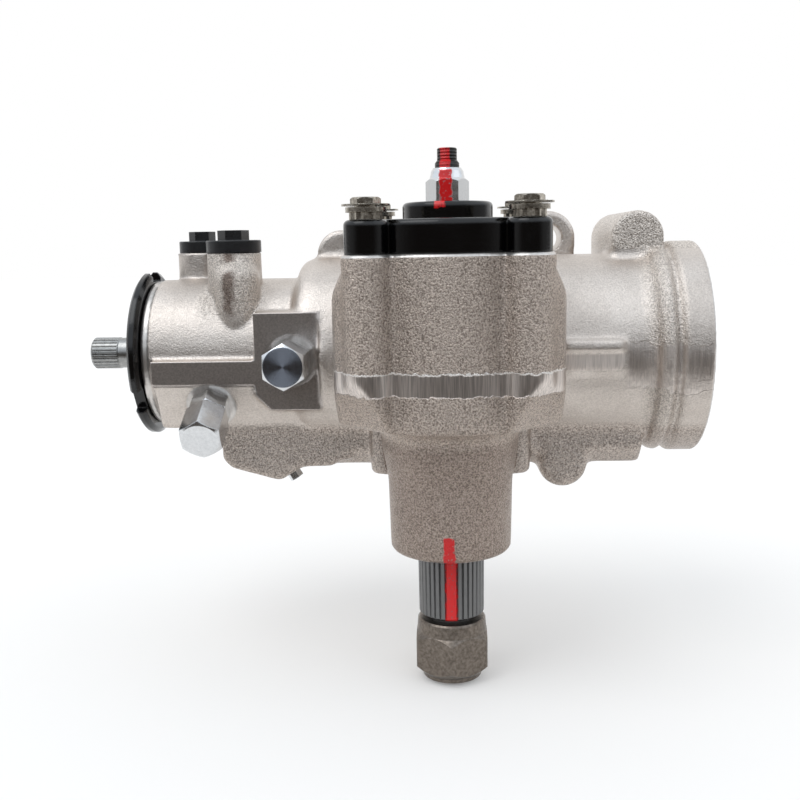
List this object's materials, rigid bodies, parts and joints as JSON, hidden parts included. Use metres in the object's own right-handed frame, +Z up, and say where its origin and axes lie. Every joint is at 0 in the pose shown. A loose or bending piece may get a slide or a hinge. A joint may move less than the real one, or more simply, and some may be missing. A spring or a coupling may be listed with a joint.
{
  "type": "recirculating-ball power steering gearbox",
  "caption": "Cast steering gearbox with a worm and rack piston driving a vertical splined sector shaft.",
  "frame": {"origin": "centre of the upper frame bolt's hole, on the mounting plane at the backs of the lugs", "axes": "+Y out of the mounting plane towards the vehicle's frame, +X along the worm away from the input shaft, +Z up the sector shaft towards the side cover"},
  "size_m": [0.3092, 0.1609, 0.2465],
  "materials": {
    "cast_housing": "satin",
    "steel_shaft": "satin",
    "steel_nut": "satin",
    "steel_bolt": "satin",
    "zinc_steel": "satin",
    "seal_rubber": "matte",
    "ring_plastic": "matte",
    "seat_brass": "satin",
    "bearing_steel": "satin",
    "black_cover": "gloss",
    "black_ring": "gloss",
    "black_plastic": "matte"
  },
  "bodies": {
    "housing": {"adjuster_lock_nut": "steel_nut", "adjuster_lock_ring": "black_ring", "adjuster_plug": "bearing_steel", "adjuster_plug_seal": "seal_rubber", "adjuster_screw": "steel_nut", "bleed_screw": "zinc_steel", "cover_bolt_clips": "steel_bolt", "cover_bolt_collars": "steel_bolt", "cover_bolt_washers": "steel_bolt", "cover_bolts": "steel_bolt", "end_plug_clip": "bearing_steel", "end_plug_seal": "seal_rubber", "front_port_cap": "black_plastic", "front_port_seat": "seat_brass", "gear_housing": "cast_housing", "housing_end_plug": "bearing_steel", "lower_assist_adapter": "zinc_steel", "lower_assist_cap": "zinc_steel", "lower_thrust_cage": "bearing_steel", "lower_thrust_races": "bearing_steel", "rear_port_cap": "black_plastic", "rear_port_seat": "seat_brass", "sector_backup_washers": "bearing_steel", "sector_bearing_cup": "bearing_steel", "sector_bearing_needles": "bearing_steel", "sector_inner_seal": "seal_rubber", "sector_outer_seal": "seal_rubber", "sector_retaining_ring": "bearing_steel", "sector_upper_bushing": "seat_brass", "side_cover": "black_cover", "side_cover_seal": "seal_rubber", "stub_bearing": "bearing_steel", "stub_dust_seal": "seal_rubber", "stub_retaining_ring": "bearing_steel", "stub_seal": "seal_rubber", "upper_assist_adapter": "zinc_steel", "upper_assist_cap": "zinc_steel", "upper_thrust_cage": "bearing_steel", "upper_thrust_races": "bearing_steel"},
    "piston": {"rack_piston": "steel_shaft", "piston_end_plug": "bearing_steel", "piston_ring": "ring_plastic", "recirculating_balls": "bearing_steel", "ball_return_guide": "bearing_steel", "guide_clamp": "bearing_steel"},
    "sector": {"sector_shaft": "steel_shaft", "pitman_nut": "steel_nut", "adjuster_retainer": "steel_nut"},
    "worm": {"worm": "steel_shaft", "torsion_bar": "steel_shaft", "valve_body": "bearing_steel", "valve_rings": "ring_plastic"},
    "input": {"stub_shaft": "steel_shaft", "valve_spool": "steel_shaft"}
  },
  "joints": [
    {"name": "piston_slide", "type": "slide", "parent": "housing", "child": "piston", "axis": [1, 0, 0], "range_m": [-0.02356, 0.02356]},
    {"name": "sector_turn", "type": "hinge", "parent": "housing", "child": "sector", "pos_m": [-0.0535, -0.116, -0.0556], "axis": [0, 0, 1], "range_deg": [-45.1, 45.1]},
    {"name": "worm_spin", "type": "hinge", "parent": "housing", "child": "worm", "pos_m": [-0.0535, -0.056, -0.0556], "axis": [1, 0, 0], "range_deg": [-630.5, 630.5]},
    {"name": "input_twist", "type": "hinge", "parent": "worm", "child": "input", "pos_m": [-0.0535, -0.056, -0.0556], "axis": [1, 0, 0], "range_deg": [-7, 7], "stiffness_Nm_per_rad": 2}
  ],
  "couplings": [
    {"joint": "sector_turn", "follows": "piston_slide", "rad_per_m": -33.333},
    {"joint": "worm_spin", "follows": "piston_slide", "rad_per_m": -466.67}
  ]
}
